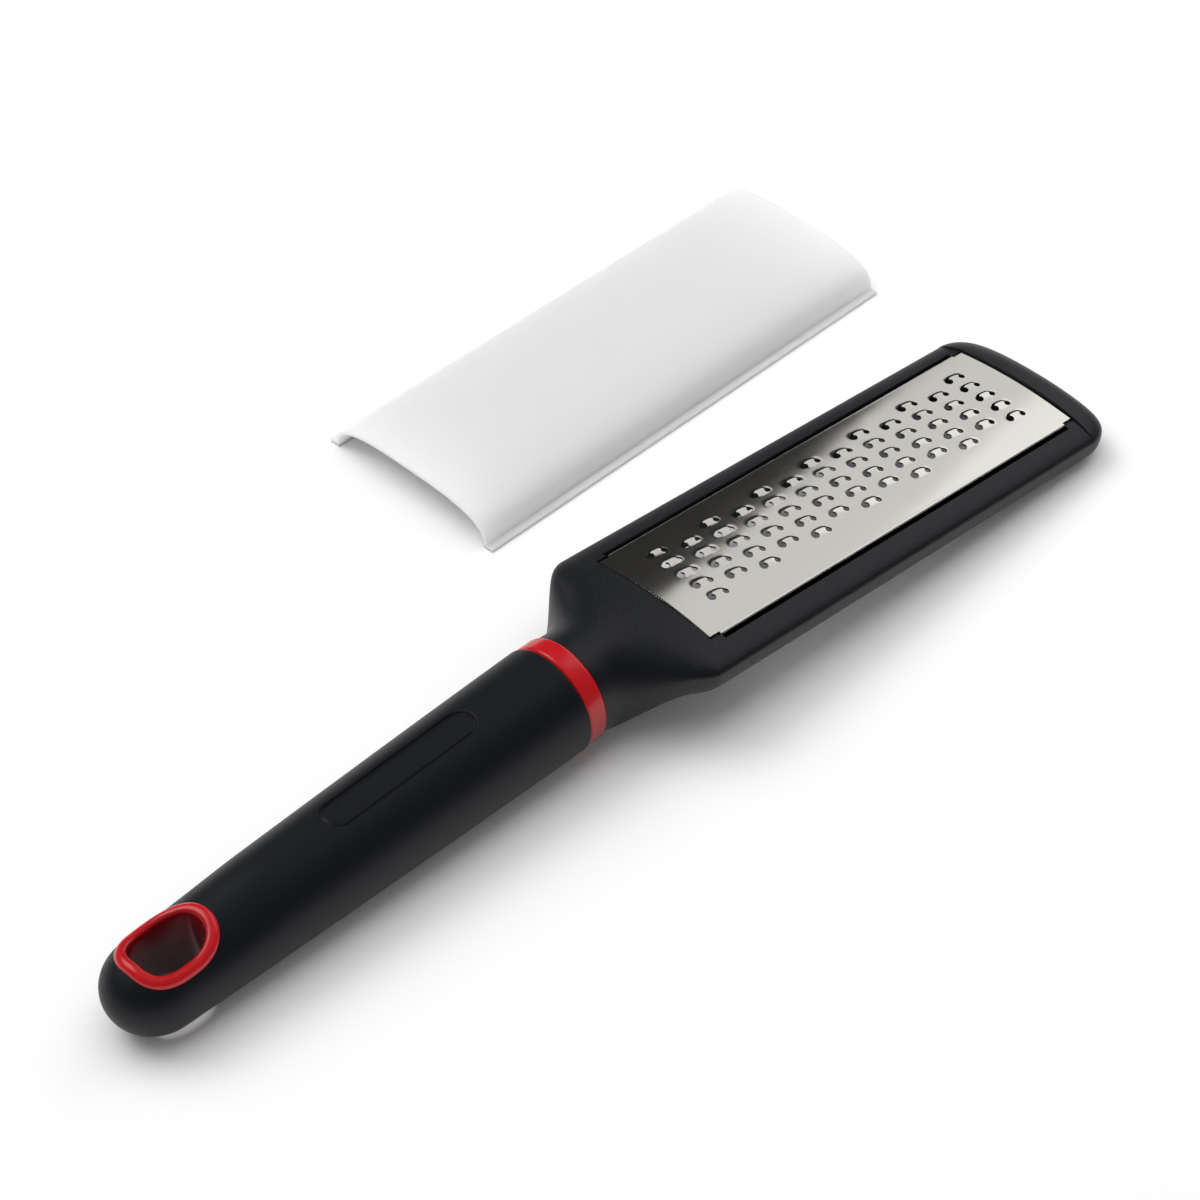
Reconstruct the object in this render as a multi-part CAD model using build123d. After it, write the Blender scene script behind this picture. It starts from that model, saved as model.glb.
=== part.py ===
from build123d import *
from math import asin, cos, degrees, pi, radians, sin, sqrt
import os

# A rasp zester lying on a table beside its cover, in millimetres and degrees.
# Each group of sizes belongs to one piece. X runs from the handle to the tip, Z is up, and the cover
# lies on the +Y side. The head and the handle are each modelled level and then tilted to their rest.

# The blade: an arched sheet with its long edges folded down
blade_length = 132.0
blade_width = 38.0
blade_crown = 1.4
sheet = 0.5
fold_radius = 0.9
flange_depth = 4.5
flange_end_gap = 3.3
corner_notch = 1.3

# The teeth: raised tongues in columns of five, with columns of four between them
full_columns = 7
full_rows = 5
column_pitch = 18.1
row_pitch = 5.1
field_shift = 1.35
tooth_length = 5.5
tooth_depth = 2.9
tooth_corner = 0.9
tongue_length = 3.7
tongue_rise = 1.05
tongue_slot = 0.75

# The head frame: a crowned, full-sided body with a window under the blade
head_width = 54.0
tip_width = 52.4
head_thickness = 10.1
side_level = 3.6
underside_fullness = 3.1
underside_power = 2.8
crown_power = 2.05
tip_rim_length = 9.3
tip_rim_raise = 0.7
tip_top_round = 4.0
tip_bottom_round = 4.0
tip_corner_round = 9.0
window_side_margin = 1.9
window_end_margin = 5.0
window_corner = 3.0
slot_gap = 1.4
slot_depth = 5.6
seat_clearance = 0.05
end_gap = 0.3

# The neck: an S-curved shoulder from the head down to the round collar, with a tang beyond it
neck_length = 29.1
neck_radius = 13.3
shoulder_length = 14.0
shoulder_gap = 7.0
belly_lead = 2.0
belly_run_share = 1.05
tang_width = 12.0
tang_thickness = 7.0
tang_length = 42.0
tang_corner = 1.5

# The handle: collar, core and soft grip on one axis
collar_width = 5.7
collar_radius = 13.9
collar_round = 1.0
collar_bore_radius = 9.5
handle_length = 139.4
grip_front_half_width = 14.4
grip_back_half_width = 11.9
grip_front_half_height = 13.8
grip_back_half_height = 11.5
grip_nose_length = 13.0
grip_wall = 2.2
socket_clearance = 0.1
panel_length = 46.0
panel_width = 8.6
panel_depth = 0.6
panel_start = 29.9

# The hang hole: an oblong eye near the butt, rounder towards the collar and squarer towards the butt
eye_length = 17.0
eye_width = 13.6
eye_from_butt = 9.2
eye_front_power = 2.3
eye_back_power = 3.2
liner_wall = 1.6
rim_width = 2.7
rim_rise = 1.1
under_rim_rise = 0.25
rim_sink = 0.8

# The rest: how the head and the handle are tilted when the tool lies on its tip and butt
head_pitch = 5.4
handle_pitch = 1.15

# The cover: a thin arched channel with a lip along each foot
cover_length = 142.0
cover_half_width = 27.7
cover_height = 9.8
cover_taper = 1.0
cover_power = 3.0
cover_wall = 1.2
lip_width = 2.1
lip_thickness = 1.2
cover_gap = 30.2
cover_shift = 1.6

overrun = 5.0
section_points = 13
neck_sections = 13
round_sections = 6
grip_sections = 4
eye_points = 24
grip_width_power = 1.5
nose_turns = (0, 18, 36, 52, 66, 77, 85)


def smoothstep(share):
    """Rises from 0 to 1 with level ends, and stays there outside them."""
    share = min(max(share, 0), 1)
    return share * share * (3 - 2 * share)


def between(start, end, share):
    """The value at a share of the way from start to end."""
    return start + (end - start) * share


def half_loop(half_width, height, power):
    """Points of half a superellipse at even turns, from its right end over its crown to its left end."""
    points = []
    for i in range(section_points):
        turn = pi * i / (section_points - 1)
        across, up = cos(turn), max(sin(turn), 0)
        reach = (abs(across) ** power + up**power) ** (-1 / power)
        points.append((half_width * reach * across, height * reach * up))
    return points


def cross_section(x, half_width, level, top, bottom, top_power=2.0, bottom_power=2.0):
    """A closed section across X, widest at one level, with a crown above and a belly below."""
    crown = half_loop(half_width, top - level, top_power)
    belly = half_loop(half_width, level - bottom, bottom_power)
    above = Spline(*[(x, y, level + rise) for y, rise in crown])
    below = Spline(*[(x, y, level - drop) for y, drop in reversed(belly)])
    return Face(Wire([above, below]))


def block(x_span, y_span, z_span):
    """A box between two values along each axis."""
    size = [high - low for low, high in (x_span, y_span, z_span)]
    middle = [(high + low) / 2 for low, high in (x_span, y_span, z_span)]
    return Pos(*middle) * Box(*size)


# Places shared by the pieces of the head, measured in the head's own level frame,
# where X starts at the blade's handle end and Z is zero at the blade's long edges
half_blade = blade_width / 2
head_end = blade_length + tip_rim_length
blade_arch_radius = (half_blade**2 + blade_crown**2) / (2 * blade_crown)
rim_start = blade_length + end_gap
body_bottom = -head_thickness - underside_fullness


def arch_top(y):
    """Height of the blade's arched top at a distance from the middle."""
    return sqrt(blade_arch_radius**2 - y**2) - blade_arch_radius + blade_crown


# The tilt of the head and of the handle at rest. The tip stands on the end of its flat underside,
# where the rounding of the bottom comes up to it, and the butt on the rim of the hang hole.
flat_share = tip_bottom_round / (tip_bottom_round + underside_fullness)
tip_contact = rim_start + (head_end - rim_start) * sqrt(1 - flat_share**2)
head_lift = tip_contact * sin(radians(head_pitch)) + head_thickness * cos(radians(head_pitch))
head_place = Pos(0, 0, head_lift) * Rot(0, head_pitch, 0)
butt_contact = handle_length - grip_nose_length
joint_height = butt_contact * sin(radians(handle_pitch)) + grip_back_half_height + under_rim_rise
handle_place = Pos(-neck_length, 0, joint_height) * Rot(0, -handle_pitch, 0)

# The joint's place in the head's own frame
joint_drop = joint_height - head_lift
joint_x = -neck_length * cos(radians(head_pitch)) - joint_drop * sin(radians(head_pitch))
joint_z = -neck_length * sin(radians(head_pitch)) + joint_drop * cos(radians(head_pitch))
joint_tilt = head_pitch + handle_pitch


def neck_section(x):
    """The section of the neck at a place between the joint and the shoulder's end."""
    widening = smoothstep((x + shoulder_gap + shoulder_length) / shoulder_length)
    share = smoothstep((x + shoulder_gap + belly_lead + shoulder_length) / shoulder_length)
    return cross_section(
        x,
        between(neck_radius, head_width / 2, widening),
        between(joint_z, -side_level, share),
        between(joint_z + neck_radius, blade_crown, share),
        between(joint_z - neck_radius, body_bottom, share),
        between(2, crown_power, share),
        between(2, underside_power, share),
    )


def body_section(x, half_width, raise_by=0, narrow_by=0, lower_by=0, lift_by=0):
    """The section of the head, which the tip's rounding makes narrower and thinner."""
    return cross_section(
        x,
        half_width - narrow_by,
        -side_level,
        blade_crown + raise_by - lower_by,
        body_bottom + lift_by,
        crown_power,
        underside_power,
    )


# The neck's outer form runs a little past the joint, to be cut square to the handle there
neck_start = joint_x - 2 * neck_radius * sin(radians(joint_tilt))


def make_head_frame():
    """The frame: neck, body and raised tip rim, with the blade's seat, slots and window cut out."""
    neck_stations = [between(neck_start, 0, i / (neck_sections - 1)) for i in range(neck_sections)]
    neck = loft([neck_section(x) for x in neck_stations])
    body = loft([neck_section(0), body_section(rim_start, tip_width / 2)], ruled=True)
    rim_length = head_end - rim_start
    rim = []
    for i in range(round_sections):
        turn = pi / 2 * i / (round_sections - 1)
        rim.append(
            body_section(
                rim_start + rim_length * sin(turn),
                tip_width / 2,
                tip_rim_raise,
                tip_corner_round * (1 - cos(turn)),
                tip_top_round * (1 - cos(turn)),
                (tip_bottom_round + underside_fullness) * (1 - cos(turn)),
            )
        )
    solid = neck + body + loft(rim)
    solid -= make_underside_cut()
    joint = Pos(joint_x, 0, joint_z) * Rot(0, -joint_tilt, 0)
    behind = neck_radius * 2
    solid -= joint * block((-behind, 0), (-behind, behind), (-behind, behind))
    seat = make_arch(half_blade + seat_clearance, -sheet - seat_clearance, overrun)
    solid -= Pos(-end_gap, 0, 0) * extrude(Plane.YZ * seat, blade_length + 2 * end_gap)
    solid -= make_window()
    slot_start = flange_end_gap - seat_clearance
    x_span = (slot_start, blade_length - slot_start)
    for side in (-1, 1):
        inner = side * (half_blade - sheet - seat_clearance)
        bend = side * (half_blade - fold_radius)
        outer = side * (half_blade + slot_gap)
        solid -= block(x_span, sorted((inner, outer)), (-slot_depth, overrun))
        solid -= block(x_span, sorted((bend, outer)), (-fold_radius, overrun))
    half_wide, half_thick = tang_width / 2, tang_thickness / 2
    tang = block((-tang_length, overrun), (-half_wide, half_wide), (-half_thick, half_thick))
    tang = fillet(tang.edges().filter_by(Axis.X), tang_corner)
    return solid + joint * tang


def make_underside_cut():
    """The room below the flat underside, which slants down to meet the neck's belly."""
    far = head_end + overrun
    run = (shoulder_gap + belly_lead) * belly_run_share
    deep = body_bottom - overrun
    slant_end = (-run, -head_thickness - underside_fullness * belly_run_share)
    corners = [(far, -head_thickness), (0, -head_thickness), slant_end, (-run, deep), (far, deep)]
    outline = Plane.XZ * make_face(Polyline(*corners, close=True))
    return extrude(outline, head_width, both=True)


def make_arch(half_width, low, high):
    """A flat face across Y and Z whose bottom follows the blade's arch, lowered or raised."""
    ends = [(side * half_width, arch_top(half_width) + low) for side in (-1, 1)]
    top = blade_crown + high
    bottom = ThreePointArc(ends[0], (0, blade_crown + low), ends[1])
    sides = Polyline(ends[1], (half_width, top), (-half_width, top), ends[0])
    return make_face([bottom, sides])


def make_window():
    """The opening that the gratings fall through."""
    half_width = half_blade - window_side_margin
    length = blade_length - 2 * window_end_margin
    outline = RectangleRounded(length, 2 * half_width, window_corner)
    depth = head_thickness + blade_crown + overrun * 2
    return Pos(blade_length / 2, 0, -head_thickness - overrun) * extrude(outline, depth)


def make_rasp_blade():
    """The blade: a folded, arched sheet with a window and a raised tongue at each tooth."""
    outer = make_folded_profile(half_blade, 0, fold_radius)
    inner = make_folded_profile(half_blade - sheet, -sheet, fold_radius - sheet)
    blade = extrude(Plane.YZ * (outer - inner), blade_length)
    side_span = (half_blade - corner_notch, half_blade + overrun)
    for side in (-1, 1):
        y_span = sorted((side * side_span[0], side * side_span[1]))
        for start in (-overrun, blade_length - flange_end_gap):
            x_span = (start, start + overrun + flange_end_gap)
            blade -= block(x_span, y_span, (-flange_depth - overrun, overrun))
    windows = []
    tongues = []
    for x, y in tooth_places():
        lean = degrees(asin(y / blade_arch_radius))
        place = Pos(x, y, arch_top(y)) * Rot(-lean, 0, 0)
        windows.append(place * make_tooth_window())
        tongues.append(place * make_tongue())
    return blade - windows + tongues


def make_folded_profile(half_width, top, bend):
    """A face under an arch with square sides, whose two upper corners have the fold's bend."""
    edge = arch_top(half_width) + top
    crown = blade_crown + top
    arch = ThreePointArc((-half_width, edge), (0, crown), (half_width, edge))
    right = [(half_width, edge), (half_width, -flange_depth)]
    left = [(-half_width, -flange_depth), (-half_width, edge)]
    sides = Polyline(*right, *left)
    face = make_face([arch, sides])
    corners = face.vertices().sort_by(Axis.Y)[-2:]
    return fillet(corners, bend)


def tooth_places():
    """Middle of each tooth: full columns, and shorter ones half a pitch on, half a row over."""
    places = []
    first = (blade_length - (full_columns - 1) * column_pitch) / 2
    for column in range(2 * full_columns - 1):
        rows = full_rows - column % 2
        for row in range(rows):
            x = first + column * column_pitch / 2
            y = field_shift + (row - (rows - 1) / 2) * row_pitch
            places.append((x, y))
    return places


def make_tooth_window():
    """The hole that the punch opens round a tongue, with its corners cut off."""
    outline = chamfer(Rectangle(tooth_length, tooth_depth).vertices(), tooth_corner)
    return Pos(0, 0, -2 * sheet) * extrude(outline, 4 * sheet)


def make_tongue():
    """The tongue: rooted on the near side, and rising to its cutting edge on the far side."""
    reach = tooth_depth - tongue_slot
    root = sheet / 2
    tilt = degrees(asin(tongue_rise / (reach + root)))
    outline = Pos(0, (reach - root) / 2) * Rectangle(tongue_length, reach + root)
    corners = outline.vertices().sort_by(Axis.Y)[-2:]
    plate = extrude(chamfer(corners, tooth_corner), -sheet)
    return Pos(0, -tooth_depth / 2, 0) * Rot(tilt, 0, 0) * plate


def grip_section(along, inset=0):
    """The section of the handle at a distance from the joint, with the butt's rounding."""
    share = min(along / butt_contact, 1)
    half_width = between(grip_front_half_width, grip_back_half_width, share**grip_width_power) - inset
    half_height = between(grip_front_half_height, grip_back_half_height, share) - inset
    past = max(along - butt_contact, 0) / (grip_nose_length - inset)
    shrink = sqrt(max(1 - past**2, 0))
    return cross_section(-along, half_width * shrink, 0, half_height * shrink, -half_height * shrink)


def make_handle_form(start, inset=0):
    """The handle's outer form, or one set in by a wall, from a start to the butt's rounded end."""
    shares = [i / (grip_sections - 1) for i in range(grip_sections)]
    straight = [between(start, butt_contact, share) for share in shares]
    nose = [butt_contact + (grip_nose_length - inset) * sin(radians(turn)) for turn in nose_turns]
    lofts = [loft([grip_section(along, inset) for along in reversed(part)]) for part in (straight, nose)]
    return lofts[0] + lofts[1]


def eye_point(turn, grow=0):
    """A point of the eye's outline, grown by an amount, with its long axis along the handle."""
    middle = handle_length - eye_from_butt - eye_length / 2
    half_length = eye_length / 2 + grow
    half_width = eye_width / 2 + grow
    power = eye_front_power if cos(turn) > 0 else eye_back_power
    side_x = 1 if cos(turn) > 0 else -1
    side_y = 1 if sin(turn) > 0 else -1
    x = side_x * half_length * abs(cos(turn)) ** (2 / power)
    y = side_y * half_width * abs(sin(turn)) ** (2 / power)
    return (x - middle, y)


def eye_turns():
    """Even turns round the eye, none of them on a corner between its halves."""
    return [2 * pi * (i + 0.5) / eye_points for i in range(eye_points)]


def make_eye_prism(grow):
    """A tall prism over the eye's outline."""
    outline = Spline(*[eye_point(turn, grow) for turn in eye_turns()], periodic=True)
    tall = grip_front_half_height + overrun
    return Pos(0, 0, -tall) * extrude(make_face(outline), 2 * tall)


def make_hang_hole_liner():
    """The liner: a tube through the butt, standing proud with a draped rim round each mouth."""
    start = butt_contact / 2
    sleeve = make_eye_prism(rim_width) - make_eye_prism(0)
    form = make_handle_form(start)
    sleeve &= (Pos(0, 0, rim_rise) * form) + (Pos(0, 0, -under_rim_rise) * form)
    return sleeve - (make_handle_form(start, rim_sink) - make_eye_prism(liner_wall))


def cut_for_liner(piece):
    """A piece of the handle with the room for the liner taken out."""
    return piece - make_eye_prism(liner_wall) - (make_eye_prism(rim_width) - make_handle_form(0, rim_sink))


def make_collar_ring():
    """The ring between the neck and the grip."""
    ring = Cylinder(collar_radius, collar_width) - Cylinder(collar_bore_radius, collar_width)
    outer = ring.edges().filter_by(GeomType.CIRCLE).sort_by(SortBy.RADIUS)[-2:]
    return Pos(-collar_width / 2, 0, 0) * Rot(0, 90, 0) * fillet(outer, collar_round)


def make_handle_core():
    """The core: a spigot through the collar, a stem inside the grip, and the tang's socket."""
    stem = make_handle_form(collar_width, grip_wall)
    spigot = Pos(-collar_width / 2, 0, 0) * Rot(0, 90, 0) * Cylinder(collar_bore_radius, collar_width)
    core = stem + spigot
    across = tang_width / 2 + socket_clearance
    high = tang_thickness / 2 + socket_clearance
    deep = tang_length + socket_clearance
    socket = block((-deep, overrun), (-across, across), (-high, high))
    return cut_for_liner(core - socket)


def make_soft_grip():
    """The sleeve over the core, with the recessed panel on its top."""
    grip = make_handle_form(collar_width)
    panel_middle = -panel_start - panel_length / 2
    stadium = SlotOverall(panel_length, panel_width)
    recess = Pos(panel_middle, 0, 0) * extrude(stadium, grip_front_half_height + overrun)
    recess -= make_handle_form(collar_width, panel_depth)
    grip -= recess
    return cut_for_liner(grip - make_handle_form(0, grip_wall))


def cover_section(x, half_width, height):
    """A face under a superellipse that stands on the table."""
    arch = Spline(*[(x, y, z) for y, z in half_loop(half_width, height, cover_power)])
    return Face(Wire([arch, Line(arch @ 1, arch @ 0)]))


def make_cover():
    """The cover: a slightly tapered channel, open at both ends, with a lip along each foot."""
    ends = ((0, cover_half_width), (cover_length, cover_half_width - cover_taper))
    shell = loft([cover_section(x, half_width, cover_height) for x, half_width in ends], ruled=True)
    corners = [(x, side * (width + lip_width)) for side in (-1, 1) for x, width in ends[::side]]
    shell += extrude(make_face(Polyline(corners, close=True)), lip_thickness)
    inner = [(x, half_width - cover_wall, cover_height - cover_wall) for x, half_width in ends]
    return shell - loft([cover_section(*section) for section in inner], ruled=True)


cover_middle = head_width / 2 + cover_gap + lip_width + cover_half_width
pieces = {
    "head_frame": head_place * make_head_frame(),
    "rasp_blade": head_place * make_rasp_blade(),
    "collar_ring": handle_place * make_collar_ring(),
    "handle_core": handle_place * make_handle_core(),
    "soft_grip": handle_place * make_soft_grip(),
    "hang_hole_liner": handle_place * make_hang_hole_liner(),
    "cover": Pos(cover_shift, cover_middle, 0) * make_cover(),
}

# The origin is on the table, under the middle of everything
whole = Compound(children=[Compound(piece.solids()) for piece in pieces.values()]).bounding_box()
centre = Pos(-whole.center().X, -whole.center().Y, 0)

os.makedirs("parts", exist_ok=True)
for name, piece in pieces.items():
    export_step(centre * piece, f"parts/{name}.step")
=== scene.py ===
from math import radians

import bpy
import numpy as np
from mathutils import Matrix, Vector


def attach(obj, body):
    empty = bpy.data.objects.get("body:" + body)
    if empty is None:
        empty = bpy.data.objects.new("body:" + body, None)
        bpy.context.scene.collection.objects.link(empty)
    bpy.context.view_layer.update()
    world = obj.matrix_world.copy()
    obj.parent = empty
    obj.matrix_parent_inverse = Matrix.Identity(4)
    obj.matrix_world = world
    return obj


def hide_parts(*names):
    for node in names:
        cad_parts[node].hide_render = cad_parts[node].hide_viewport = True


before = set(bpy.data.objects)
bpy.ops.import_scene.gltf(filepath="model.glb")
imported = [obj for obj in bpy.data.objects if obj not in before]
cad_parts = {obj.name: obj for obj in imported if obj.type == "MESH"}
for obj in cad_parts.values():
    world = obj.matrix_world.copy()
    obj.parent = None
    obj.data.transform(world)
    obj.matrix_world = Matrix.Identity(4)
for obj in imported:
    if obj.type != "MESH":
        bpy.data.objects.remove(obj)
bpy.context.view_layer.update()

bpy.context.scene.view_settings.view_transform = "Standard"

# Stage: a pale floor under a soft studio. The floor's own colour carries the background, and it
# shows the shadows.
FLOOR_HALF = 4.0
FLOOR_COLOUR = (0.97, 0.97, 0.97)


def new_material(name, colour, roughness, metallic=0.0):
    """A material with its uniform values on the shader's own sockets."""
    material = bpy.data.materials.new(name)
    material.use_nodes = True
    shader = material.node_tree.nodes["Principled BSDF"]
    shader.inputs["Base Color"].default_value = (*colour, 1)
    shader.inputs["Roughness"].default_value = roughness
    shader.inputs["Metallic"].default_value = metallic
    return material, shader


floor_mesh = bpy.data.meshes.new("floor")
floor_corners = [(x * FLOOR_HALF, y * FLOOR_HALF, 0) for x, y in ((-1, -1), (1, -1), (1, 1), (-1, 1))]
floor_mesh.from_pydata(floor_corners, [], [(0, 1, 2, 3)])
floor = bpy.data.objects.new("floor", floor_mesh)
bpy.context.collection.objects.link(floor)
floor_material, floor_shader = new_material("floor_paper", FLOOR_COLOUR, 0.9)
floor_shader.inputs["Specular IOR Level"].default_value = 0.1
floor_mesh.materials.append(floor_material)

# World: an even pale light from all round. In gloss it is a dim studio, so that the polished blade
# has its dark part and the black plastics stay black.
WORLD_LIGHT = 0.38
WORLD_IN_GLOSS = 0.03
world = bpy.data.worlds.new("studio")
bpy.context.scene.world = world
world.use_nodes = True
world_nodes, world_links = world.node_tree.nodes, world.node_tree.links
background = world_nodes["Background"]
background.inputs["Color"].default_value = (1, 1, 1, 1)
world_path = world_nodes.new("ShaderNodeLightPath")
world_mix = world_nodes.new("ShaderNodeMix")
world_mix.inputs["A"].default_value = WORLD_LIGHT
world_mix.inputs["B"].default_value = WORLD_IN_GLOSS
world_links.new(world_path.outputs["Is Glossy Ray"], world_mix.inputs["Factor"])
world_links.new(world_mix.outputs["Result"], background.inputs["Strength"])


def add_softbox(name, place, size, power, turn=None):
    """A rectangular area light that faces the origin, or straight down with a turn about Z."""
    light = bpy.data.lights.new(name, "AREA")
    light.shape = "RECTANGLE"
    light.size, light.size_y = size
    light.energy = power
    lamp = bpy.data.objects.new(name, light)
    bpy.context.collection.objects.link(lamp)
    lamp.location = place
    towards = -Vector(place)
    lamp.rotation_euler = towards.to_track_quat("-Z", "Y").to_euler() if turn is None else (0, 0, turn)
    lamp.visible_camera = False
    return lamp


# Lamps: the key is high behind the cover and throws the shadows forward. The wide top light softens
# the shadows and isn't seen in gloss. Three flat panels side by side are what the blade mirrors:
# their outer edge makes its slanting border of bright and dark, and they are dimmer towards it.
add_softbox("key", (-0.5, 1.5, 1.9), (1.8, 1.4), 19)
top_light = add_softbox("top_light", (-0.15, 0.5, 1.7), (2.2, 2.2), 19, turn=0)
top_light.visible_glossy = False
PANEL_TURN, PANEL_LENGTH, PANEL_HEIGHT = radians(47.5), 3.2, 1.2
PANEL_EDGE = np.array([1.508, 1.144])
inward = np.array([np.sin(PANEL_TURN), -np.cos(PANEL_TURN)])
for inset, depth, brightness in ((0, 0.35, 0.7), (0.35, 0.45, 1.0), (0.8, 0.8, 1.25)):
    place = (*(PANEL_EDGE + inward * (inset + depth / 2)), PANEL_HEIGHT)
    watts = np.pi * PANEL_LENGTH * depth * brightness
    add_softbox("panel", place, (PANEL_LENGTH, depth), watts, turn=PANEL_TURN)

# Camera: its place and lens were solved from the photograph's lines
camera = bpy.data.cameras.new("camera")
camera.sensor_width = 36
camera.lens = 126.558
camera_object = bpy.data.objects.new("camera", camera)
bpy.context.collection.objects.link(camera_object)
camera_object.location = (-0.509333, -0.549513, 0.705617)
camera_object.rotation_euler = (radians(90 - 43.232), 0, radians(-44.941))
bpy.context.scene.camera = camera_object

# Handle core: the rigid stem inside the grip, moulded in one piece with the socket for the head's
# tang. Nothing of it is seen, so it keeps its CAD mesh and gets plain black plastic.
core_material, _ = new_material("core_plastic", (0.03, 0.03, 0.032), 0.5)
core_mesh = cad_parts["handle_core"].data
core_mesh.materials.clear()
core_mesh.materials.append(core_material)

# Soft grip: a satin rubber sleeve moulded over the core, oval, tapering to a rounded butt, with a
# shallow long panel pressed into its top. Sizes are in millimetres and are measured from the joint
# with the head along the handle's axis.
MIDDLE = np.array([12.421289, -44.684435, 0.0])
JOINT = np.array([-29.1, 0.0, 14.287])
HANDLE_TILT = radians(1.15)
GRIP_START, EDGE_ROUND = 5.7, 0.6
NOSE_START, NOSE_LENGTH = 126.4, 13.0
HALF_WIDTH, WIDTH_LOSS, WIDTH_POWER = 14.4, 2.5, 1.5
HALF_HEIGHT, HEIGHT_LOSS = 13.8, 2.3
DIP_START, DIP_RUN, DIP_DEPTH = 92, 26, 1.3


def handle_to_row(points):
    """Handle coordinates in millimetres to the row frame in metres."""
    x, y, z = points[..., 0], points[..., 1], points[..., 2]
    cos, sin = np.cos(HANDLE_TILT), np.sin(HANDLE_TILT)
    turned = np.stack([x * cos - z * sin, y, x * sin + z * cos], -1)
    return (turned + JOINT + MIDDLE) / 1000


def smoothstep(share):
    """An even S from 0 to 1."""
    share = np.clip(share, 0, 1)
    return share * share * (3 - 2 * share)


def grip_sizes(along):
    """Half width and half height of the handle, with the butt's rounding as one shrinking share."""
    share = np.clip(along / NOSE_START, 0, 1)
    past = np.clip((along - NOSE_START) / NOSE_LENGTH, 0, 1)
    shrink = np.sqrt(np.maximum(1 - past**2, 0))
    half_width = HALF_WIDTH - WIDTH_LOSS * share**WIDTH_POWER
    return half_width, HALF_HEIGHT - HEIGHT_LOSS * share, shrink


def top_dip(along):
    """How far the handle's top lies lower towards the butt than its underside's taper alone gives."""
    return DIP_DEPTH * smoothstep((along - DIP_START) / DIP_RUN)


def add_grain(material, shader, scale, depth, spread, detail=2):
    """Fine relief of a surface: noise in object space as bump, which also varies the roughness."""
    tree = material.node_tree
    place = tree.nodes.new("ShaderNodeTexCoord")
    noise = tree.nodes.new("ShaderNodeTexNoise")
    bump = tree.nodes.new("ShaderNodeBump")
    gloss = tree.nodes.new("ShaderNodeMapRange")
    noise.inputs["Scale"].default_value = scale
    noise.inputs["Detail"].default_value = detail
    bump.inputs["Distance"].default_value = depth
    roughness = shader.inputs["Roughness"].default_value
    gloss.inputs["To Min"].default_value = max(roughness - spread, 0.02)
    gloss.inputs["To Max"].default_value = roughness + spread
    tree.links.new(place.outputs["Object"], noise.inputs["Vector"])
    tree.links.new(noise.outputs["Fac"], bump.inputs["Height"])
    tree.links.new(noise.outputs["Fac"], gloss.inputs["Value"])
    tree.links.new(gloss.outputs["Result"], shader.inputs["Roughness"])
    tree.links.new(bump.outputs["Normal"], shader.inputs["Normal"])


def ring_faces(stations, around, closed=False):
    """Quads of a grid whose rings close on themselves, with caps or closed along its length too."""
    i = np.arange(stations if closed else stations - 1)[:, None]
    j = np.arange(around)[None, :]
    a = i * around + j
    b = i * around + (j + 1) % around
    c = ((i + 1) % stations) * around + (j + 1) % around
    d = ((i + 1) % stations) * around + j
    faces = np.stack([a, b, c, d], -1).reshape(-1, 4).tolist()
    if not closed:
        faces.append(list(range(around - 1, -1, -1)))
        faces.append(list(range((stations - 1) * around, stations * around)))
    return faces


def add_piece(name, points, faces, material, smooth_angle=35):
    """A mesh object from points in metres, with outward faces and smooth shading up to an angle."""
    mesh = bpy.data.meshes.new(name)
    mesh.from_pydata(points.reshape(-1, 3).tolist(), [], faces)
    mesh.validate()
    mesh.materials.append(material)
    piece = bpy.data.objects.new(name, mesh)
    bpy.context.collection.objects.link(piece)
    turn_outward(mesh)
    smooth(mesh, smooth_angle)
    return piece


def smooth(mesh, angle):
    """Smooth shading, kept sharp where faces meet at more than an angle in degrees."""
    mesh.polygons.foreach_set("use_smooth", np.ones(len(mesh.polygons), bool))
    mesh.set_sharp_from_angle(angle=radians(angle))


def turn_outward(mesh):
    """Flips the faces where the mesh's signed volume is negative."""
    mesh.calc_loop_triangles()
    corners = np.empty(len(mesh.loop_triangles) * 3, np.int32)
    mesh.loop_triangles.foreach_get("vertices", corners)
    places = np.empty(len(mesh.vertices) * 3)
    mesh.vertices.foreach_get("co", places)
    a, b, c = places.reshape(-1, 3)[corners].reshape(-1, 3, 3).transpose(1, 0, 2)
    if np.einsum("ij,ij->", a, np.cross(b, c)) < 0:
        mesh.flip_normals()


def cut(piece, points, faces, name="cutter"):
    """Takes a closed shape out of a piece with a boolean for closed meshes, and removes the shape."""
    mesh = bpy.data.meshes.new(name)
    mesh.from_pydata(points.reshape(-1, 3).tolist(), [], faces)
    turn_outward(mesh)
    cutter = bpy.data.objects.new(name, mesh)
    bpy.context.collection.objects.link(cutter)
    boolean = piece.modifiers.new(name, "BOOLEAN")
    boolean.operation = "DIFFERENCE"
    boolean.solver = "MANIFOLD"
    boolean.object = cutter
    bpy.context.view_layer.objects.active = piece
    bpy.ops.object.modifier_apply(modifier=name)
    bpy.data.objects.remove(cutter)
    bpy.data.meshes.remove(mesh)


front = radians(90) * np.linspace(0, 1, 7)
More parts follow.
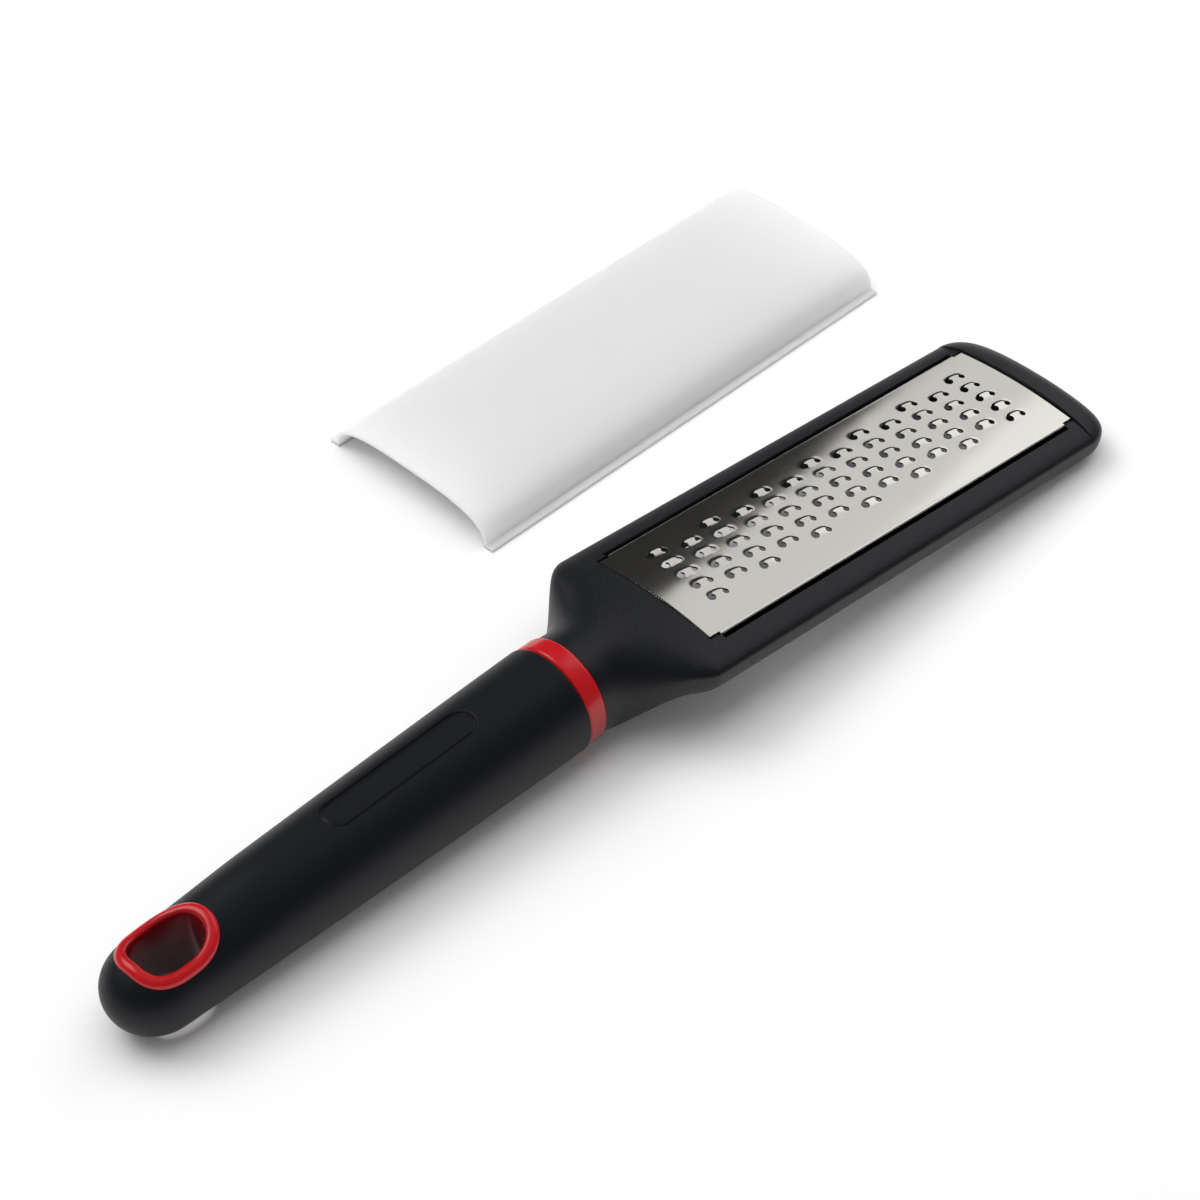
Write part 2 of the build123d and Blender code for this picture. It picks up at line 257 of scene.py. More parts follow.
# Stations are close together where the panel is, and closer still round the butt
FINE_START, FINE_END = 27, 79
spans = ((GRIP_START + EDGE_ROUND, FINE_START, 31), (FINE_START, FINE_END, 211), (FINE_END, NOSE_START, 61))
straight = np.concatenate([np.linspace(*span)[1:] for span in spans])
nose = NOSE_START + NOSE_LENGTH * np.sin(radians(89.0) * np.linspace(0, 1, 48))[1:]
along = np.concatenate([GRIP_START + EDGE_ROUND * (1 - np.cos(front)), straight, nose])
edge = np.concatenate([EDGE_ROUND * (1 - np.sin(front)), np.zeros(len(straight) + len(nose))])
half_width, half_height, shrink = grip_sizes(along)
# Degrees round the section, with close points over the top, where the panel is
fine_turn, coarse_turn = np.linspace(65, 115, 100), np.linspace(115, 425, 122)[1:-1]
turn = radians(1) * np.concatenate([fine_turn, coarse_turn])
grip_y = ((half_width - edge) * shrink)[:, None] * np.cos(turn)
dip = top_dip(along)[:, None] * (np.sin(turn) > 0)
grip_z = ((half_height - edge)[:, None] - dip) * shrink[:, None] * np.sin(turn)
# The panel: a stadium 46 mm long whose floor lies 0.5 mm deep, with a steep wall, a fine groove along
# its foot and a broad faint bevel round its mouth
PANEL_MIDDLE, PANEL_REACH, PANEL_HALF = 52.9, 18.7, 4.0
WALL_RUN, WALL_DEPTH, BEVEL_RUN, BEVEL_DEPTH = 0.35, 0.38, 1.6, 0.12
GROOVE_DEPTH, GROOVE_SET, GROOVE_WIDTH = 0.25, 0.25, 0.28
past_end = np.maximum(np.abs(along - PANEL_MIDDLE) - PANEL_REACH, 0)[:, None]
from_line = np.hypot(past_end, grip_y)
wall = smoothstep((from_line - PANEL_HALF) / WALL_RUN)
bevel = np.clip((from_line - PANEL_HALF) / BEVEL_RUN, 0, 1)
panel_depth = WALL_DEPTH * (1 - wall) + BEVEL_DEPTH * (1 - bevel) ** 2
groove = GROOVE_DEPTH * np.exp(-(((from_line - PANEL_HALF + GROOVE_SET) / GROOVE_WIDTH) ** 2))
grip_z = grip_z - (panel_depth + groove) * (np.sin(turn) > 0)
grip_points = np.stack([np.broadcast_to(-along[:, None], grip_y.shape), grip_y, grip_z], -1)
grip_material, grip_shader = new_material("black_soft_grip", (0.0062, 0.0072, 0.0098), 0.45)
grip_shader.inputs["Specular IOR Level"].default_value = 0.24
add_grain(grip_material, grip_shader, 900, 0.00003, 0.04)
grip_faces = ring_faces(len(along), len(turn))
grip = add_piece("grip_sleeve", handle_to_row(grip_points), grip_faces, grip_material, 50)
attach(grip, "tool")
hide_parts("soft_grip")

# Hang hole liner: an eye of glossy red plastic moulded through the butt, rounder towards the collar
# and squarer towards the end. A bead drapes over the grip round its upper mouth, and a low rim lies
# round the lower one.
EYE_MIDDLE = -122.0
EYE_HALF_LENGTH, EYE_HALF_WIDTH = 8.8, 6.95
LINER_WALL, BEAD_WIDTH, BEAD_RISE, UNDER_RISE, BEAD_SINK = 1.6, 3.2, 0.85, 0.25, 0.35
EYE_COUNT, EYE_POWERS, SLOPE_STEP = 288, (2.3, 3.2), 2


def eye_outline(count):
    """The eye's outline, a superellipse half of each of the two powers, and its outward normals."""
    angle = np.linspace(0, 2 * np.pi, count, endpoint=False)
    c, s = np.cos(angle), np.sin(angle)
    power = np.where(c > 0, *EYE_POWERS)
    reach = (np.abs(c) ** power + np.abs(s) ** power) ** (-1 / power)
    x, y = EYE_HALF_LENGTH * reach * c, EYE_HALF_WIDTH * reach * s
    dx, dy = np.roll(x, -1) - np.roll(x, 1), np.roll(y, -1) - np.roll(y, 1)
    length = np.hypot(dx, dy)
    return x + EYE_MIDDLE, y, dy / length, -dx / length


def grip_surface(x, y, on_top):
    """Distance of the grip's surface from its axis at places in handle coordinates, top or under."""
    width, height, _ = grip_sizes(-x)
    past = np.clip((-x - NOSE_START) / NOSE_LENGTH, 0, 1)
    return (height - on_top * top_dip(-x)) * np.sqrt(np.maximum(1 - past**2 - (y / width) ** 2, 0))


def bead_ring(outward, rise, on_top=1):
    """Rings of a bead draped on the grip: steps along its surface, and a rise square to it."""
    further = grip_surface(eye_x + SLOPE_STEP * normal_x, eye_y + SLOPE_STEP * normal_y, on_top)
    slope = (further - grip_surface(eye_x, eye_y, on_top)) / SLOPE_STEP
    lean = 1 / np.hypot(1, slope)
    step = lean[:, None] * outward
    x, y = eye_x[:, None] + normal_x[:, None] * step, eye_y[:, None] + normal_y[:, None] * step
    z = grip_surface(x, y, on_top) + lean[:, None] * rise
    tip_out = (-slope * lean)[:, None] * rise
    return np.stack([x + normal_x[:, None] * tip_out, y + normal_y[:, None] * tip_out, z], -1)


eye_x, eye_y, normal_x, normal_y = eye_outline(EYE_COUNT)
bead = radians(180) * np.linspace(0, 1, 25)
upper = bead_ring(BEAD_WIDTH / 2 * (1 + np.cos(bead)), -BEAD_SINK + (BEAD_RISE + BEAD_SINK) * np.sin(bead))
under_rise = -BEAD_SINK + (UNDER_RISE + BEAD_SINK) * np.sin(bead)
lower = bead_ring(BEAD_WIDTH / 2 * (1 - np.cos(bead)), under_rise, 0) * [1, 1, -1]
share = np.linspace(0, 1, 17)[1:-1]
inner_wall = upper[:, -1:] + (lower[:, :1] - upper[:, -1:]) * share[:, None]
wall_out, wall_sink = np.array([LINER_WALL]), np.array([-2 * BEAD_SINK])
outer_under = bead_ring(wall_out, wall_sink, 0) * [1, 1, -1]
liner_points = np.concatenate([upper, inner_wall, lower, outer_under, bead_ring(wall_out, wall_sink)], 1)
# Its colour deepens down the hole, where little light gets
DEEPEST = 0.05
bead_shade = np.interp(bead, (0, 1.9, np.pi), (1, 1, 0.45))
wall_shade = np.interp(share, (0, 0.5, 1), (0.4, 0.12, DEEPEST))
hidden_count = liner_points.shape[1] - len(bead) - len(share)
liner_shade = np.concatenate([bead_shade, wall_shade, np.full(hidden_count, DEEPEST)])


def add_painted_shade(piece, shade, domain="POINT"):
    """Stores one painted-shade value per vertex or face, 1 for the full colour and 0 for the darkest shade.
    """
    attribute = piece.data.attributes.new("shade", "FLOAT", domain)
    attribute.data.foreach_set("value", np.ascontiguousarray(shade, np.float32).ravel())


def paint_shade(material, shader, shade_colour):
    """Paints shade: mixes a material's colour from a dark shade colour to full by the mesh's stored shade.
    """
    tree = material.node_tree
    value = tree.nodes.new("ShaderNodeAttribute")
    value.attribute_name = "shade"
    mix = tree.nodes.new("ShaderNodeMix")
    mix.data_type = "RGBA"
    mix.inputs[6].default_value = (*shade_colour, 1)
    mix.inputs[7].default_value = shader.inputs["Base Color"].default_value
    tree.links.new(value.outputs["Fac"], mix.inputs["Factor"])
    tree.links.new(mix.outputs[2], shader.inputs["Base Color"])


red_material, red_shader = new_material("red_gloss_plastic", (0.50, 0.007, 0.012), 0.22)
add_grain(red_material, red_shader, 260, 0.00002, 0.04)
# Painted shade: the red is mixed down to near black where the stored shade falls
paint_shade(red_material, red_shader, (0.03, 0.0005, 0.0006))
liner_faces = ring_faces(EYE_COUNT, liner_points.shape[1], closed=True)
liner = add_piece("hang_hole_eye", handle_to_row(liner_points), liner_faces, red_material, 60)
add_painted_shade(liner, np.broadcast_to(liner_shade, liner_points.shape[:2]))
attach(liner, "tool")
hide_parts("hang_hole_liner")

# The hole in the grip lies under the bead, part of the way through the liner's wall
HOLE_OUT, HOLE_REACH = 1.0, 25.0
hole_x, hole_y = eye_x + normal_x * HOLE_OUT, eye_y + normal_y * HOLE_OUT
hole_z = np.array([-HOLE_REACH, HOLE_REACH])[:, None]
hole_points = np.stack(np.broadcast_arrays(hole_x, hole_y, hole_z), -1)
cut(grip, handle_to_row(hole_points), ring_faces(2, EYE_COUNT))
smooth(grip.data, 50)

# Collar ring: a band of glossy red plastic with rounded edges, clamped between the head's neck and
# the grip. Its profile is turned about the handle's axis, and its colour is painted darker
# underneath as painted shade.
COLLAR_WIDTH, COLLAR_RADIUS, COLLAR_BORE, COLLAR_ROUND = 5.7, 13.9, 9.5, 1.0
corner = radians(90) * np.linspace(0, 1, 9)
edge_out, edge_in = COLLAR_ROUND * (1 - np.cos(corner)), COLLAR_ROUND * (1 - np.sin(corner))
collar_x = np.concatenate([[0], -edge_out, -COLLAR_WIDTH + edge_out[::-1], [-COLLAR_WIDTH]])
collar_edge = COLLAR_RADIUS - edge_in
collar_r = np.concatenate([[COLLAR_BORE], collar_edge, collar_edge[::-1], [COLLAR_BORE]])
COLLAR_COUNT = 224
collar_turn = np.linspace(0, 2 * np.pi, COLLAR_COUNT, endpoint=False)[:, None]
collar_y, collar_z = collar_r * np.cos(collar_turn), collar_r * np.sin(collar_turn)
collar_points = np.stack(np.broadcast_arrays(collar_x, collar_y, collar_z), -1)
collar_faces = ring_faces(COLLAR_COUNT, len(collar_x), closed=True)
collar = add_piece("collar_band", handle_to_row(collar_points), collar_faces, red_material, 50)
# Painted shade: the colour is darker towards the underside
add_painted_shade(collar, np.clip(0.75 + 0.55 * collar_z / COLLAR_RADIUS, 0.3, 1))
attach(collar, "tool")
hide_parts("collar_ring")

# Head frame: one moulding of fine matt black plastic, from the round neck over S-curved shoulders to
# the rimmed tip. Its tang is held in the core. Sizes are in millimetres in the head's own frame: X
# from the blade's handle end, Z from its long edges.
HEAD_TILT = radians(5.4)
HEAD_LIFT = 23.2055
HALF_BLADE, BLADE_LENGTH, BLADE_CROWN, SHEET = 19.0, 132.0, 1.4, 0.5
NECK_RADIUS, HALF_HEAD, HALF_TIP = 13.3, 27.0, 26.2
SIDE_LEVEL, BELLY_LEVEL, UNDERSIDE = -3.6, -13.2, -10.1
RIM_START, HEAD_END, RIM_RAISE = 132.3, 141.3, 0.7
ARCH_RADIUS = (HALF_BLADE**2 + BLADE_CROWN**2) / (2 * BLADE_CROWN)
SPREAD_START, SPREAD_RUN = -25.0, 21.0
DEEPEN_START, DEEPEN_RUN = -23.0, 14.0
TIP_ROUND_SIDE, TIP_ROUND_TOP, TIP_ROUND_UNDER = 9.0, 4.0, 7.1
FLAT_START, UNDER_SLANT, LEAN_RUN = -9.45, 0.344, 9


def head_to_row(points):
    """Head coordinates in millimetres to the row frame in metres."""
    x, y, z = points[..., 0], points[..., 1], points[..., 2]
    cos, sin = np.cos(HEAD_TILT), np.sin(HEAD_TILT)
    turned = np.stack([x * cos + z * sin, y, -x * sin + z * cos + HEAD_LIFT], -1)
    return (turned + MIDDLE) / 1000


def arch(y):
    """Height of the blade's arched top over its long edges."""
    return np.sqrt(ARCH_RADIUS**2 - y**2) - ARCH_RADIUS + BLADE_CROWN


joint_drop = JOINT[2] - HEAD_LIFT
joint_x = JOINT[0] * np.cos(HEAD_TILT) - joint_drop * np.sin(HEAD_TILT)
joint_z = JOINT[0] * np.sin(HEAD_TILT) + joint_drop * np.cos(HEAD_TILT)
tip_turn = radians(90) * np.linspace(0, 1, 26)
RIM_STEP = 0.05
body_stations = np.concatenate([np.linspace(joint_x, 0, 110), np.linspace(0, RIM_START, 120)[1:]])
tip_stations = RIM_START + RIM_STEP + (HEAD_END - RIM_START - RIM_STEP) * np.sin(tip_turn)
stations = np.concatenate([body_stations, tip_stations])
rounding = np.concatenate([np.zeros(len(body_stations)), 1 - np.cos(tip_turn)])
widening = smoothstep((stations - SPREAD_START) / SPREAD_RUN)
deepening = smoothstep((stations - DEEPEN_START) / DEEPEN_RUN)
on_rim = (stations > RIM_START + RIM_STEP / 2) * 1.0
taper = np.clip(stations / RIM_START, 0, 1)
full_half = HALF_HEAD + (HALF_TIP - HALF_HEAD) * taper
section_half = NECK_RADIUS + (full_half - NECK_RADIUS) * widening - TIP_ROUND_SIDE * rounding
section_level = joint_z + (SIDE_LEVEL - joint_z) * deepening
neck_top = joint_z + NECK_RADIUS
section_top = neck_top + (BLADE_CROWN - neck_top) * deepening + RIM_RAISE * on_rim
section_top -= TIP_ROUND_TOP * rounding
neck_bottom = joint_z - NECK_RADIUS
section_bottom = neck_bottom + (BELLY_LEVEL - neck_bottom) * deepening + TIP_ROUND_UNDER * rounding
# Each section is a superellipse, round at the neck and squarer below its level on the head
SQUARER_TOP, SQUARER_BOTTOM = 0.05, 0.8
top_power = 2 + SQUARER_TOP * deepening
bottom_power = 2 + SQUARER_BOTTOM * deepening
head_turn = np.linspace(0, 2 * np.pi, 320, endpoint=False)
cosine, sine = np.cos(head_turn), np.sin(head_turn)
power = np.where(sine >= 0, top_power[:, None], bottom_power[:, None])
reach = (np.abs(cosine) ** power + np.abs(sine) ** power) ** (-1 / power)
head_y = section_half[:, None] * reach * cosine
rise_up, fall_down = (section_top - section_level)[:, None], (section_level - section_bottom)[:, None]
height = np.where(sine >= 0, rise_up, fall_down)
head_z = section_level[:, None] + height * reach * sine
# The underside is flat below the blade and runs down to the neck's belly at a slant
flat = UNDERSIDE - UNDER_SLANT * np.maximum(-stations, 0)[:, None]
head_z = np.where(stations[:, None] > FLAT_START, np.maximum(head_z, flat), head_z)
# The neck's end is square to the handle's axis, and the sections lean towards it
lean_share = 1 - smoothstep((stations - joint_x) / LEAN_RUN)[:, None]
head_x = stations[:, None] - (head_z - joint_z) * np.tan(HEAD_TILT + HANDLE_TILT) * lean_share
frame_material, frame_shader = new_material("black_frame_plastic", (0.0066, 0.0076, 0.0098), 0.42)
frame_shader.inputs["Specular IOR Level"].default_value = 0.36
add_grain(frame_material, frame_shader, 1700, 0.00006, 0.05)
head_points = head_to_row(np.stack([head_x, head_y, head_z], -1))
head_faces = ring_faces(len(stations), len(head_turn))
head = add_piece("head_body", head_points, head_faces, frame_material, 40)
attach(head, "tool")
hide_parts("head_frame")


def prism(x_low, x_high, outline_y, outline_z):
    """Points of a prism along X over an outline across Y and Z."""
    return np.stack(np.broadcast_arrays(np.array([x_low, x_high])[:, None], outline_y, outline_z), -1)


# The seat that the blade lies in, a hair larger than the blade all round
SEAT_HALF, SEAT_GAP, SEAT_START, ABOVE = 19.05, 0.05, -0.3, 6.0
seat_y = np.linspace(-SEAT_HALF, SEAT_HALF, 49)
seat_outline_y = np.concatenate([seat_y, [SEAT_HALF, -SEAT_HALF]])
seat_outline_z = np.concatenate([arch(seat_y) - SHEET - SEAT_GAP, [ABOVE, ABOVE]])
seat_points = prism(SEAT_START, RIM_START, seat_outline_y, seat_outline_z)
cut(head, head_to_row(seat_points), ring_faces(2, len(seat_outline_y)))
# A slot along each side takes the blade's folded edge. Its outer rim has a small bevel.
SLOT_START, SLOT_END, SLOT_FLOOR = 3.2, 128.8, -5.6
SLOT_INNER, SLOT_OUTER, BEVEL_OUTER, BEVEL_LOW, BEVEL_HIGH = 18.4, 20.3, 20.7, -0.55, -0.1
for side in (-1, 1):
    slot_y = side * np.array([SLOT_INNER, SLOT_OUTER, SLOT_OUTER, BEVEL_OUTER, BEVEL_OUTER, SLOT_INNER])
    slot_z = np.array([SLOT_FLOOR, SLOT_FLOOR, BEVEL_LOW, BEVEL_HIGH, ABOVE, ABOVE])
    cut(head, head_to_row(prism(SLOT_START, SLOT_END, slot_y, slot_z)), ring_faces(2, len(slot_y)))
# The window that the gratings fall through, with rounded corners
WINDOW_MIDDLE, WINDOW_REACH, WINDOW_HALF, WINDOW_CORNER = 66, 58, 14.1, 3
window_turn = np.linspace(0, 2 * np.pi, 64, endpoint=False) + radians(2.8)
window_cos, window_sin = np.cos(window_turn), np.sin(window_turn)
window_x = WINDOW_MIDDLE + WINDOW_REACH * np.sign(window_cos) + WINDOW_CORNER * window_cos
window_y = WINDOW_HALF * np.sign(window_sin) + WINDOW_CORNER * window_sin
BELOW = -20.0
window_z = np.array([BELOW, ABOVE])[:, None]
window_points = np.stack(np.broadcast_arrays(window_x, window_y, window_z), -1)
cut(head, head_to_row(window_points), ring_faces(2, len(window_turn)))
smooth(head.data, 40)

# Rasp blade: one polished stainless sheet, arched across and folded down along both sides, where its
# folded edges sit in the frame's slots. It is made flat, with a C-shaped slot cut round each tooth,
# then bent, and the teeth are raised at the far edge.
FOLD_RADIUS, FLANGE_DEPTH = 0.45, 4.5
FLAT_HALF = HALF_BLADE - FOLD_RADIUS
FOLD_ARC = FOLD_RADIUS * np.pi / 2
SHEET_HALF = FLAT_HALF + FOLD_ARC + FLANGE_DEPTH - FOLD_RADIUS
across = np.concatenate([
    np.linspace(-FLAT_HALF, FLAT_HALF, 91),
    FLAT_HALF + FOLD_ARC * np.linspace(0, 1, 8)[1:],
    [SHEET_HALF],
])
across = np.concatenate([-across[:90:-1], across])
end_steps = np.array([0, 0.08, 0.2])
middle_steps = np.linspace(0.5, BLADE_LENGTH - 0.5, 299)
sheet_x = np.concatenate([end_steps, middle_steps, BLADE_LENGTH - end_steps[::-1]])
top_points = np.stack(np.broadcast_arrays(sheet_x[:, None], across[None, :], 0.0), -1)
bottom_points = np.stack(np.broadcast_arrays(sheet_x[:, None], across[None, ::-1], -SHEET), -1)
sheet_points = np.concatenate([top_points, bottom_points], 1)
steel_material, steel_shader = new_material("blade_steel", (0.77, 0.745, 0.70), 0.1, 1.0)
add_grain(steel_material, steel_shader, 55, 0.00006, 0.03, detail=1)
# Painted shade: where the stored shade is 0 the steel is mixed down to dark grey
paint_shade(steel_material, steel_shader, (0.10, 0.10, 0.095))
sheet_faces = ring_faces(len(sheet_x), sheet_points.shape[1])
blade = add_piece("rasp_sheet", sheet_points, sheet_faces, steel_material)

# The slot's middle line is a half superellipse of power 3 that opens to the near side, with a large
# round end on one side and a smaller one on the other. The whole tooth is turned a little.
TOOTH_HALF, TOOTH_DEPTH, TOOTH_NEAR, TOOTH_POWER = 2.1, 1.5, -0.7, 3
TOOTH_TURN = radians(-7)
SLOT_HALF, END_RADII = 0.4, (1.05, 0.85)
arc = np.pi * np.linspace(1, 0, 45)
arc_reach = (np.abs(np.cos(arc)) ** TOOTH_POWER + np.sin(arc) ** TOOTH_POWER) ** (-1 / TOOTH_POWER)
arc_u, arc_v = TOOTH_HALF * arc_reach * np.cos(arc), TOOTH_NEAR + TOOTH_DEPTH * arc_reach * np.sin(arc)
beyond = np.sin(radians(84) * np.linspace(1, 0, 8, endpoint=False))
line_u = np.concatenate([np.full(8, -TOOTH_HALF), arc_u, np.full(8, TOOTH_HALF)])
first_end, last_end = TOOTH_NEAR - END_RADII[0] * beyond, TOOTH_NEAR - END_RADII[1] * beyond[::-1]
line_v = np.concatenate([first_end, arc_v, last_end])
line = np.stack([line_u, line_v], -1)
tangent = np.gradient(line, axis=0)
tangent /= np.linalg.norm(tangent, axis=1)[:, None]
end_radius = np.where(line_u < 0, END_RADII[0], END_RADII[1])
from_end = np.hypot(np.abs(line_u) - TOOTH_HALF, line_v - TOOTH_NEAR)
bulb = np.sqrt(np.maximum(end_radius**2 - from_end**2, 0))
half_slot = np.where(line_v < TOOTH_NEAR - 0.001, bulb, np.maximum(SLOT_HALF, bulb))
side_step = np.stack([-tangent[:, 1], tangent[:, 0]], -1) * half_slot[:, None]
turned = np.array([[np.cos(TOOTH_TURN), -np.sin(TOOTH_TURN)], [np.sin(TOOTH_TURN), np.cos(TOOTH_TURN)]])
left, right = (line + side_step) @ turned.T, (line - side_step) @ turned.T
# Cutters for the flat sheet reach 2 mm below and above its top
CLEAR = 2.0
low, high = np.full((len(line), 1), -CLEAR), np.full((len(line), 1), CLEAR)
slot_corners = ((left, low), (right, low), (right, high), (left, high))
slot_ring = np.stack([np.hstack(corner) for corner in slot_corners], 1)
# Thirteen columns of five and four teeth in turn
TEETH_MIDDLE, COLUMN_PITCH, ROW_PITCH = (66.7, 1.5), 9.05, 5.1
column_x = TEETH_MIDDLE[0] + (np.arange(13) - 6) * COLUMN_PITCH
full_y = TEETH_MIDDLE[1] + (np.arange(5) - 2) * ROW_PITCH
short_y = TEETH_MIDDLE[1] + (np.arange(4) - 1.5) * ROW_PITCH
tooth_x = np.concatenate([np.repeat(column_x[::2], 5), np.repeat(column_x[1::2], 4)])
tooth_y = np.concatenate([np.tile(full_y, 7), np.tile(short_y, 6)])
centres = np.stack([tooth_x, tooth_y, np.zeros(len(tooth_x))], -1)
all_slots = slot_ring[None] + centres[:, None, None, :]
one = ring_faces(len(line), 4)
slot_faces = [[corner + k * len(line) * 4 for corner in face] for k in range(len(tooth_x)) for face in one]
cut(blade, all_slots, slot_faces, "teeth")
# The folded edges stop short of both ends of the blade
NOTCH_LENGTH, NOTCH_INNER, NOTCH_OUTER = 3.3, 18.2, 30.0
for x_low, x_high in ((-1, NOTCH_LENGTH), (BLADE_LENGTH - NOTCH_LENGTH, BLADE_LENGTH + 1)):
    for side in (-1, 1):
        notch_y = side * np.array([NOTCH_INNER, NOTCH_OUTER, NOTCH_OUTER, NOTCH_INNER])
        notch_points = prism(x_low, x_high, notch_y, np.array([-CLEAR, -CLEAR, CLEAR, CLEAR]))
        cut(blade, notch_points, ring_faces(2, len(notch_y)), "notch")

# Raising: inside its slot each tongue slopes up from its root to the far edge, and the sheet outside
# swells a little round the hole. Bending: the flat part follows the arch, then a quarter circle,
# then straight down. Faces of the sheet's top get the normals of this form, so mirrors stay clean.
TONGUE_RISE, SWELL_RISE, SWELL_REACH, ROOT = 0.36, 0.06, 0.7, -1.9
END_DROP, END_RUN, SEAT_LIFT = 0.05, 0.12, 0.06
blade_mesh = blade.data


def to_tooth(x, w, tooth):
    """Places in a tooth's own turned axes, and 1 on its slot's middle line, less on the tongue."""
    u, v = (np.stack([x - tooth_x[tooth], w - tooth_y[tooth]], -1) @ turned).T
    up = np.maximum(v - TOOTH_NEAR, 0) / TOOTH_DEPTH
    return u, v, (np.abs(u / TOOTH_HALF) ** TOOTH_POWER + up**TOOTH_POWER) ** (1 / TOOTH_POWER)


def tooth_lift(x, w, tooth, inside):
    """Height of the sheet over its plain form near a given tooth, on its tongue or outside the slot."""
    u, v, form = to_tooth(x, w, tooth)
    ramp = np.clip((v - ROOT) / (TOOTH_NEAR + TOOTH_DEPTH - SLOT_HALF - ROOT), 0, 1)
    beside = (1 - smoothstep((TOOTH_HALF - np.abs(u)) / 0.9)) * smoothstep((TOOTH_NEAR + 0.4 - v) / 0.8)
    swell = np.exp(-((2 * np.maximum(form - 1, 0) / SWELL_REACH) ** 2)) * smoothstep((v - ROOT) / 1.6)
    return np.where(inside, TONGUE_RISE * ramp**1.3 * (1 - beside), SWELL_RISE * swell)


def bend_sheet(x, w, t, tooth, inside):
    """Places of the folded sheet, in the head's own frame, of points of the flat one."""
    y = np.clip(w, -FLAT_HALF, FLAT_HALF)
    lift = t + tooth_lift(x, w, tooth, inside)
    end = np.minimum(x, BLADE_LENGTH - x)
    lift = lift - END_DROP * np.exp(-((end / END_RUN) ** 2)) + SEAT_LIFT
    fold = np.clip((np.abs(w) - FLAT_HALF) / FOLD_ARC, 0, 1) * np.pi / 2
    down = np.maximum(np.abs(w) - FLAT_HALF - FOLD_ARC, 0)
    radius = FOLD_RADIUS + lift
    folded_y = np.sign(w) * (FLAT_HALF + radius * np.sin(fold))
    bent_y = np.where(fold > 0, folded_y, y + lift * y / ARCH_RADIUS)
    flat_z = arch(y) + lift
    folded_z = arch(FLAT_HALF) - FOLD_RADIUS + radius * np.cos(fold) - down
    return np.stack([x, bent_y, np.where(fold > 0, folded_z, flat_z)], -1)


flat_places = np.empty(len(blade_mesh.vertices) * 3)
blade_mesh.vertices.foreach_get("co", flat_places)
x, w, t = flat_places.reshape(-1, 3).T
nearest = np.argmin(np.hypot(x[:, None] - tooth_x, w[:, None] - tooth_y), 1)
_, at_v, at_form = to_tooth(x, w, nearest)
inside = (at_form < 1) & (at_v > ROOT)
STEP = 0.02
along_x = bend_sheet(x + STEP, w, t, nearest, inside) - bend_sheet(x - STEP, w, t, nearest, inside)
along_w = bend_sheet(x, w + STEP, t, nearest, inside) - bend_sheet(x, w - STEP, t, nearest, inside)
form_normals = np.cross(along_x, along_w)
form_normals /= np.linalg.norm(form_normals, axis=1)[:, None]
bent = head_to_row(bend_sheet(x, w, t, nearest, inside))
flat_normals = np.empty(len(blade_mesh.polygons) * 3)
blade_mesh.polygons.foreach_get("normal", flat_normals)
facing = flat_normals.reshape(-1, 3)[:, 2]
# Painted shade: the punched edges and the sheet's inner side are painted dark, for the shade in the
# holes and under the sheet.
add_painted_shade(blade, facing > 0.7, "FACE")
blade_mesh.vertices.foreach_set("co", bent.ravel())
blade_mesh.update()
turn_outward(blade_mesh)
smooth(blade_mesh, 30)
counts = np.empty(len(blade_mesh.polygons), np.int32)
blade_mesh.polygons.foreach_get("loop_total", counts)
loop_vertices = np.empty(len(blade_mesh.loops), np.int32)
blade_mesh.loops.foreach_get("vertex_index", loop_vertices)
face_normals = np.empty(len(blade_mesh.polygons) * 3)
blade_mesh.polygons.foreach_get("normal", face_normals)
tilt_cos, tilt_sin = np.cos(HEAD_TILT), np.sin(HEAD_TILT)
tilt = np.array([[tilt_cos, 0, tilt_sin], [0, 1, 0], [-tilt_sin, 0, tilt_cos]])
sheet_normals = (form_normals @ tilt.T)[loop_vertices]
wall_normals = np.repeat(face_normals.reshape(-1, 3), counts, 0)
level_share = np.repeat(facing, counts)[:, None]
under_normals = np.where(level_share < -0.7, -sheet_normals, wall_normals)
corner_normals = np.where(level_share > 0.7, sheet_normals, under_normals)
blade_mesh.normals_split_custom_set(corner_normals.tolist())
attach(blade, "tool")
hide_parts("rasp_blade")

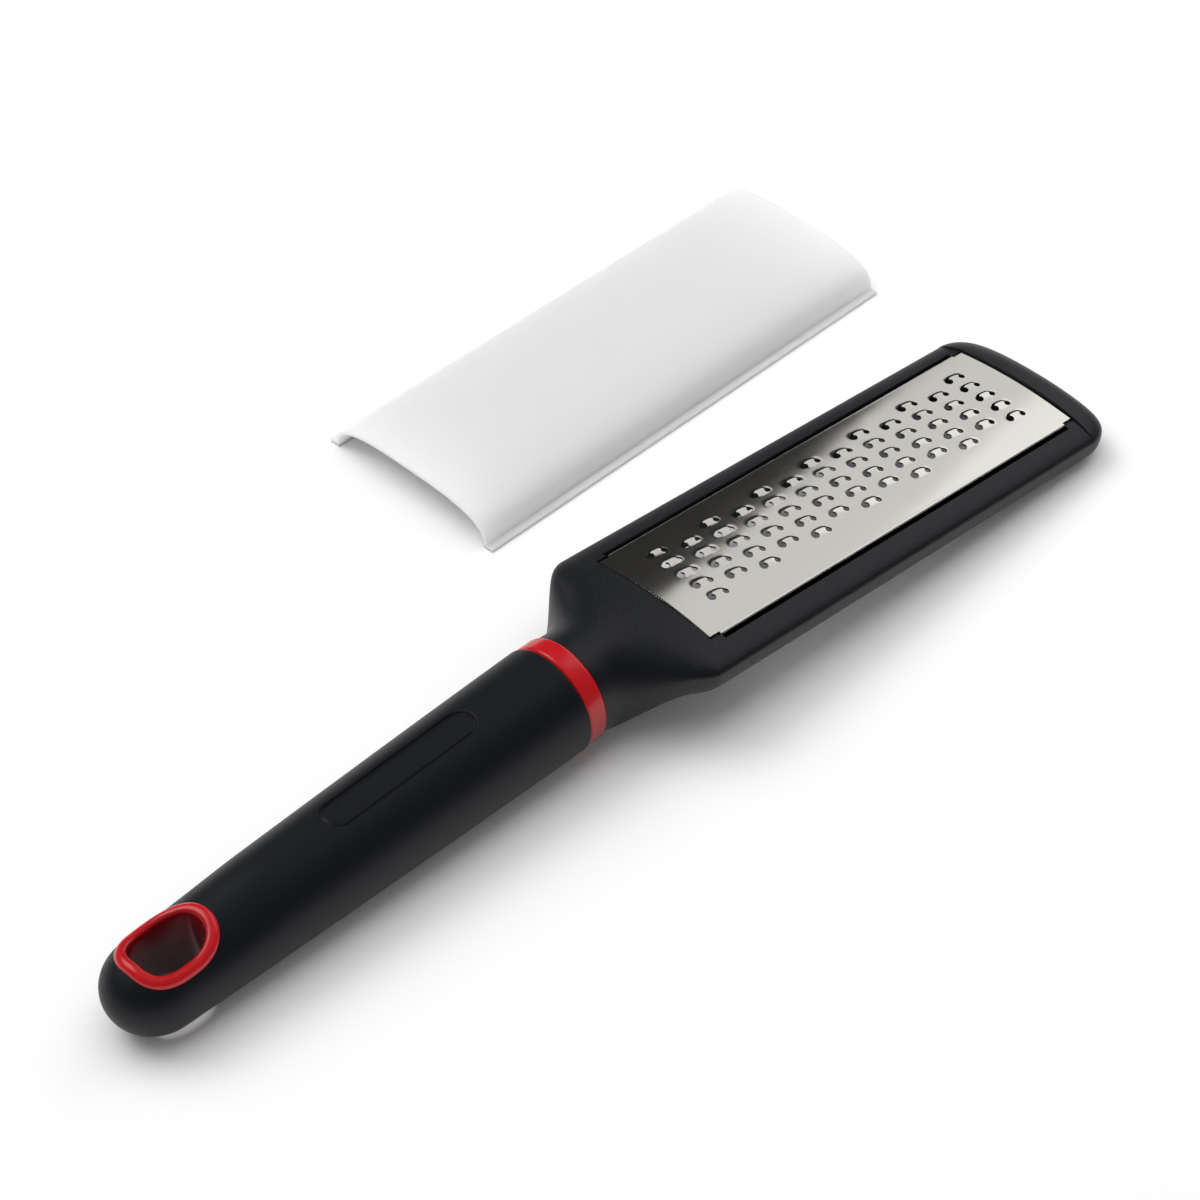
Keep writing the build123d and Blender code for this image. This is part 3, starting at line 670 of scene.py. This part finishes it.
# Cover: a thin channel of frosted translucent plastic that snaps over the blade. It has been taken
# off and stands beside the tool on its two feet, each with a lip turned outwards.
COVER_START, COVER_LENGTH, COVER_Y = 1.6, 142.0, 87.0
COVER_HALF, COVER_HEIGHT, COVER_WALL, COVER_TAPER = 27.7, 9.8, 1.2, 1.0
LIP_WIDTH, LIP_THICKNESS, COVER_POWER = 2.1, 1.2, 3.0
cover_turn = np.linspace(0, np.pi, 97)
cover_c, cover_s = np.cos(cover_turn), np.sin(cover_turn)
cover_reach = (np.abs(cover_c) ** COVER_POWER + cover_s**COVER_POWER) ** (-1 / COVER_POWER)
outer_y, outer_z = COVER_HALF * cover_reach * cover_c, COVER_HEIGHT * cover_reach * cover_s
inner_y = (COVER_HALF - COVER_WALL) * cover_reach * cover_c
inner_z = (COVER_HEIGHT - COVER_WALL) * cover_reach * cover_s
above = outer_z > LIP_THICKNESS + 0.45
# One foot from the table up: its bevelled sole, the lip's rounded rim, and the fillet under the wall
lip_y = COVER_HALF + LIP_WIDTH - np.array([0.2, 0, 0, 0.08, 0.25, 0.4])
lip_z = np.array([0.0, 0.25, 0.8, 1.0, 1.15, LIP_THICKNESS])
fillet_y, fillet_z = COVER_HALF + np.array([0.4, 0.12, 0]), LIP_THICKNESS + np.array([0, 0.1, 0.4])
right_y, right_z = np.concatenate([lip_y, fillet_y]), np.concatenate([lip_z, fillet_z])
profile_y = np.concatenate([right_y, outer_y[above], -right_y[::-1], inner_y[::-1]])
profile_z = np.concatenate([right_z, outer_z[above], right_z[::-1], np.maximum(inner_z[::-1], 0)])
cover_ends = np.array([0, 0.15, 0.4])
cover_middle = np.linspace(1.5, COVER_LENGTH - 1.5, 40)
cover_x = np.concatenate([cover_ends, cover_middle, COVER_LENGTH - cover_ends[::-1]])
pinch = 1 - COVER_TAPER / COVER_HALF * (cover_x / COVER_LENGTH)
cover_points = np.stack([
    np.broadcast_to(cover_x[:, None] + COVER_START, (len(cover_x), len(profile_y))),
    pinch[:, None] * profile_y + COVER_Y,
    np.broadcast_to(profile_z, (len(cover_x), len(profile_y))),
], -1)
cover_material, cover_shader = new_material("frosted_cover_plastic", (0.975, 0.975, 0.978), 0.45)
add_grain(cover_material, cover_shader, 320, 0.00002, 0.05)
cover_shader.inputs["Subsurface Weight"].default_value = 1.0
cover_shader.inputs["Subsurface Radius"].default_value = (1, 1, 1)
cover_shader.inputs["Subsurface Scale"].default_value = 0.004
cover_faces = ring_faces(len(cover_x), len(profile_y))
cover = add_piece("cover_shell", (cover_points + MIDDLE) / 1000, cover_faces, cover_material, 30)
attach(cover, "cover")
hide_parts("cover")
